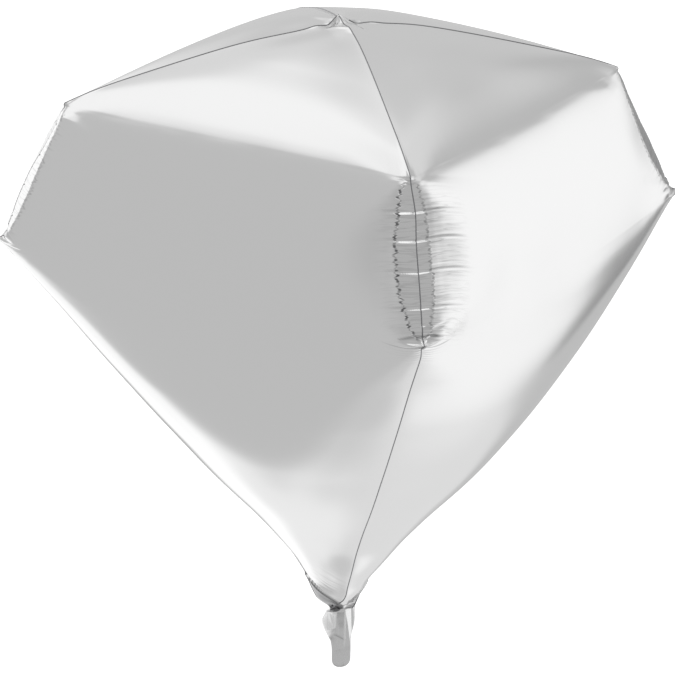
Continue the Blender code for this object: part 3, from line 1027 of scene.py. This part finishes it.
fold_x = x_a + (z - z_a) * (x_b - x_a) / (z_b - z_a)
# painted shade left of the throat fold, and a line of it along the lobe's end
tail_painted_shade = THROAT_FOLD_SHADE * ease(fold_x - x, -0.3, 0.5) * ease(z, -11, -8) * to_front
lobe_line = np.exp(-((above_end + 1.0) / 0.7) ** 2) * (x < LOBE_EDGE)
tail_painted_shade += LOBE_END_SHADE * lobe_line * to_front
blend = ease(-tail_z, 0, THROAT_BLEND)[:, None, None]
tail = (1 - blend) * (throat * (1, 1, 0) + (0, 0, 1) * tail_z[:, None, None]) + blend * tail
tail *= MM

tail_foil = bpy.data.materials.new("tail foil")
tail_foil.use_nodes = True
tree = tail_foil.node_tree
shader = tree.nodes["Principled BSDF"]
shader.inputs["Metallic"].default_value = 1.0
# the tail's colour darkens towards the shade tint where painted shade is stored
shade = tree.nodes.new("ShaderNodeAttribute")
shade.attribute_name = "painted_shade"
tree.links.new(tint_node(tree, shade.outputs["Fac"], TAIL_FOIL, PAINTED_SHADE_TINT), shader.inputs["Base Color"])
where = tree.nodes.new("ShaderNodeSeparateXYZ")
tree.links.new(tree.nodes.new("ShaderNodeTexCoord").outputs["Object"], where.inputs["Vector"])
streak_x = math_node(tree, "MULTIPLY", where.outputs["X"], STREAK_SCALES[0])
streak_z = math_node(tree, "MULTIPLY", where.outputs["Z"], STREAK_SCALES[1])
streaks = noise_node(tree, streak_x, where.outputs["Y"], streak_z, 3.0)
tree.links.new(spread_node(tree, streaks, *TAIL_ROUGHNESS), shader.inputs["Roughness"])
rub = bump_node(tree, streaks, STREAK_STRENGTH, STREAK_HEIGHT)
tree.links.new(rub, shader.inputs["Normal"])
for name, first in (("front", 0), ("back", 2 * FILM_COLUMNS)):
    wanted = [(first + k) % film_ring for k in range(2 * FILM_COLUMNS + 1)]
    part = tail[:, wanted]
    maps = {"painted_shade": tail_painted_shade[:, wanted]}
    piece = film_piece(f"tail_{name}_film", part, strip_faces(*part.shape[:2]), tail_foil, maps)
    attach(piece, "root")
    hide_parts(f"tail_{name}")

# Studio
# A pale floor under one soft dome of light. Foil shows only what it reflects, so the dome
# is laid out as a product studio is: white sheets and grey walls, each with soft edges.
FLOOR_SIZE = 30
FLOOR_DROP = 0.9
FLOOR_COLOUR = (0.95, 0.95, 0.95, 1)
FLOOR_GLOW = 0.6
CAMERA_WHITE = 1.1
WALLS = 0.55
SHEETS = [
    # azimuth (0 faces the front seam), elevation, half width and half height, how soft the
    # sides and the ends are, rise per degree of width, brightness; later ones lie on top
    (0, 12, 62, 46, 14, 10, 0, 0.46),        # wall behind the camera
    (0, 90, 400, 20, 1, 10, 0, 0.78),        # ceiling
    (0, 82, 85, 24, 12, 6, 0, 1.05),         # white ceiling in front
    (0, -66, 38, 22, 12, 8, 0, 0.28),        # dark floor in front
    (165, -62, 48, 22, 8, 5, 0, 0.77),       # floor behind, to the right
    (98, -12, 19, 44, 12, 9, 0, 1.02),       # white sheet on the right
    (104, -50, 17, 28, 8, 8, 0, 1.00),       # its lower end
    (134, 25, 24, 20, 5, 2.5, -1, 0.51),     # wall behind it
    (133, 60, 32, 25, 6, 3, 0, 0.74),        # ceiling behind it
    (-165, 68, 50, 24, 8, 6, 0, 0.89),       # ceiling behind, to the left
    (-170, -8, 22, 22, 10, 8, 0, 1.00),      # white sheet behind
    (165, 12, 16, 32, 6, 6, 0, 0.61),        # grey wall behind
    (-170, 34, 15, 9, 6, 6, 0, 0.74),        # lighter wall beside it
    (-148, 51, 28, 11, 7, 4, 0, 1.00),       # white sheet, high on the left
    (-150, 2, 28, 18, 7, 8, 0, 1.08),        # white sheet, level on the left
    (-170, -42, 29, 23, 8, 7, 0, 1.12),      # white sheet, low on the left
    (-170, -66, 29, 12, 12, 5, 0, 0.91),     # its fall-off on the floor
    (-136, -33, 22, 11, 7, 1.5, 0.22, 1.06),  # its near edge
    (142, -33, 14, 7, 7, 4, 0, 0.54),        # gap behind the right sheet, low
    (118, -23, 8, 6.5, 1.5, 1.5, -0.95, 0.30),  # darker gap beside it
    (137, -4, 13.5, 12, 1.5, 4, 0, 0.38),    # darker gap beside it, level
    (0, -90, 400, 9, 1, 6, 0, 0.61),         # floor straight below
    (172, -25, 13, 10, 3, 3, 0, 0.42),       # gap straight behind
]


def towards_node(tree, amount, start, end):
    """Goes from the start value to the end value as the amount goes from 0 to 1."""
    change = math_node(tree, "SUBTRACT", end, start)
    return math_node(tree, "ADD", start, math_node(tree, "MULTIPLY", amount, change))


bpy.ops.mesh.primitive_plane_add(size=FLOOR_SIZE, location=(0, 0, -FLOOR_DROP))
floor = bpy.context.object
floor.name = "floor"
pale = bpy.data.materials.new("pale floor")
pale.use_nodes = True
shader = pale.node_tree.nodes["Principled BSDF"]
shader.inputs["Base Color"].default_value = FLOOR_COLOUR
shader.inputs["Roughness"].default_value = 0.9
shader.inputs["Emission Color"].default_value = (1, 1, 1, 1)
shader.inputs["Emission Strength"].default_value = FLOOR_GLOW
floor.data.materials.append(pale)
floor.visible_glossy = False

world = bpy.data.worlds.new("studio")
bpy.context.scene.world = world
world.use_nodes = True
world.cycles.sampling_method = "NONE"
sky = world.node_tree
way = sky.nodes.new("ShaderNodeTexCoord").outputs["Generated"]
split = sky.nodes.new("ShaderNodeSeparateXYZ")
sky.links.new(way, split.inputs["Vector"])
ahead = math_node(sky, "MULTIPLY", split.outputs["Y"], -1)
sky_azimuth = math_node(sky, "DEGREES", math_node(sky, "ARCTAN2", split.outputs["X"], ahead))
sky_height = math_node(sky, "DEGREES", math_node(sky, "ARCSINE", split.outputs["Z"]))
light = WALLS
for azimuth, elevation, wide, high, soft_sides, soft_ends, rise, level in SHEETS:
    sideways = math_node(sky, "WRAP", math_node(sky, "SUBTRACT", sky_azimuth, azimuth), 180, -180)
    upward = math_node(sky, "SUBTRACT", sky_height, elevation)
    upward = math_node(sky, "SUBTRACT", upward, math_node(sky, "MULTIPLY", sideways, rise))
    inside = ease_node(sky, math_node(sky, "ABSOLUTE", upward), high + soft_ends, high - soft_ends)
    if wide < 180:
        within = ease_node(sky, math_node(sky, "ABSOLUTE", sideways), wide + soft_sides, wide - soft_sides)
        inside = math_node(sky, "MULTIPLY", inside, within)
    light = towards_node(sky, inside, light, level)
seen = sky.nodes.new("ShaderNodeLightPath").outputs["Is Camera Ray"]
light = towards_node(sky, seen, light, CAMERA_WHITE)
sky.links.new(light, sky.nodes["Background"].inputs["Strength"])
sky.nodes["Background"].inputs["Color"].default_value = (1, 1, 1, 1)
